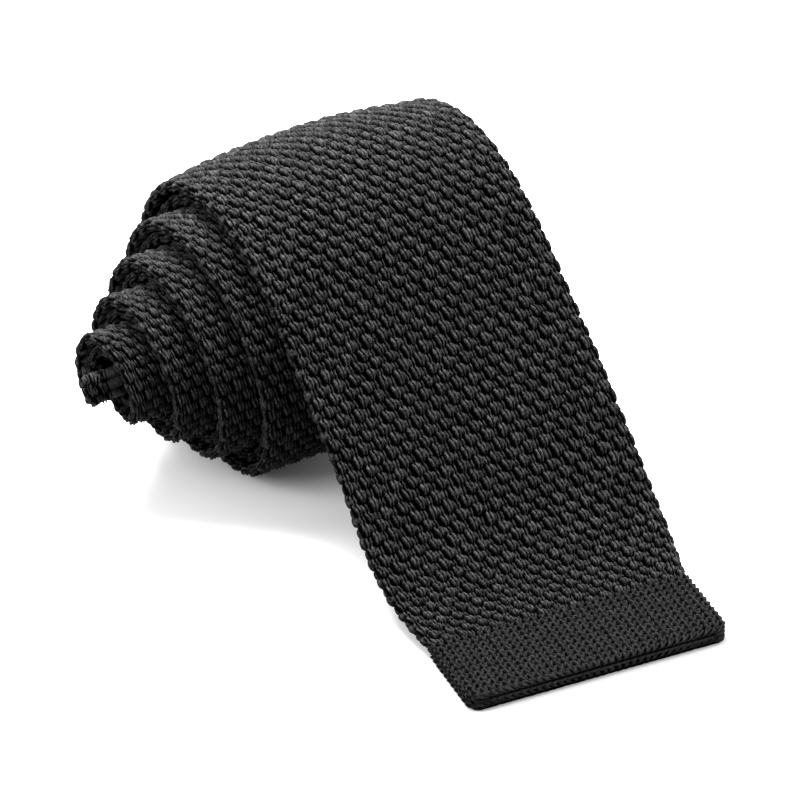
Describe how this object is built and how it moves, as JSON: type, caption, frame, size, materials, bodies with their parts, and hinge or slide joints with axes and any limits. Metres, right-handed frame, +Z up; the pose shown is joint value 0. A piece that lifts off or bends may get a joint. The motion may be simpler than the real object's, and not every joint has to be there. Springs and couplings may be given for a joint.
{
  "type": "knitted necktie",
  "caption": "Square-ended knitted necktie, folded at the neck and rolled up, with inner turns telescoped to one side and the free end laid flat.",
  "frame": {"origin": "middle of the underside of the flat end, on the table", "axes": "+X along the roll's axis away from the telescoped core, +Y from the flat end towards the roll, +Z up"},
  "size_m": [0.0897, 0.1331, 0.0538],
  "materials": {
    "blade_yarn": "matte tuck-stitch knit in charcoal yarn",
    "tail_yarn": "matte tuck-stitch knit in charcoal yarn",
    "hem_yarn": "matte plain knit in charcoal yarn",
    "keeper_tape": "woven tape",
    "label_cloth": "blank woven label",
    "linking_thread": "sewing thread"
  },
  "bodies": {
    "outer_turn": {"blade_turn_1": "blade_yarn", "tail_turn_1": "tail_yarn", "tail_hem_band": "tail_yarn", "tail_hem_linking": "linking_thread"},
    "turn_2": {"blade_turn_2": "blade_yarn", "tail_turn_2": "tail_yarn"},
    "turn_3": {"blade_turn_3": "blade_yarn", "tail_turn_3": "tail_yarn"},
    "turn_4": {"blade_turn_4": "blade_yarn", "tail_turn_4": "tail_yarn"},
    "core": {"blade_turn_5": "blade_yarn", "tail_turn_5": "tail_yarn", "neck_fold": "blade_yarn"},
    "blade": {"blade_ramp": "blade_yarn", "keeper_loop": "keeper_tape", "keeper_tack_left": "linking_thread", "keeper_tack_right": "linking_thread", "blank_label": "label_cloth", "label_stitch_left": "linking_thread", "label_stitch_right": "linking_thread"},
    "tip": {"tip_sleeve": "blade_yarn", "hem_ply_front": "hem_yarn", "hem_ply_back": "hem_yarn", "hem_linking_thread": "linking_thread"}
  },
  "joints": [
    {"name": "turn_2_slide", "type": "slide", "parent": "outer_turn", "child": "turn_2", "axis": [1, 0, 0], "range_m": [-0.003, 0.0066]},
    {"name": "turn_3_slide", "type": "slide", "parent": "turn_2", "child": "turn_3", "axis": [1, 0, 0], "range_m": [-0.003, 0.0066]},
    {"name": "turn_4_slide", "type": "slide", "parent": "turn_3", "child": "turn_4", "axis": [1, 0, 0], "range_m": [-0.003, 0.0066]},
    {"name": "core_slide", "type": "slide", "parent": "turn_4", "child": "core", "axis": [1, 0, 0], "range_m": [-0.003, 0.0066]},
    {"name": "blade_lift", "type": "hinge", "parent": "outer_turn", "child": "blade", "pos_m": [0.00553, 0.07143, 0.04604], "axis": [-1, 0, 0], "range_deg": [0, 60]},
    {"name": "tip_lift", "type": "hinge", "parent": "blade", "child": "tip", "pos_m": [0.00128, 0.01022, 0.00278], "axis": [-0.9922, 0.1247, 0], "range_deg": [0, 70]}
  ],
  "couplings": [
    {"joint": "turn_3_slide", "follows": "turn_2_slide", "ratio": 1},
    {"joint": "turn_4_slide", "follows": "turn_2_slide", "ratio": 1},
    {"joint": "core_slide", "follows": "turn_2_slide", "ratio": 1}
  ]
}
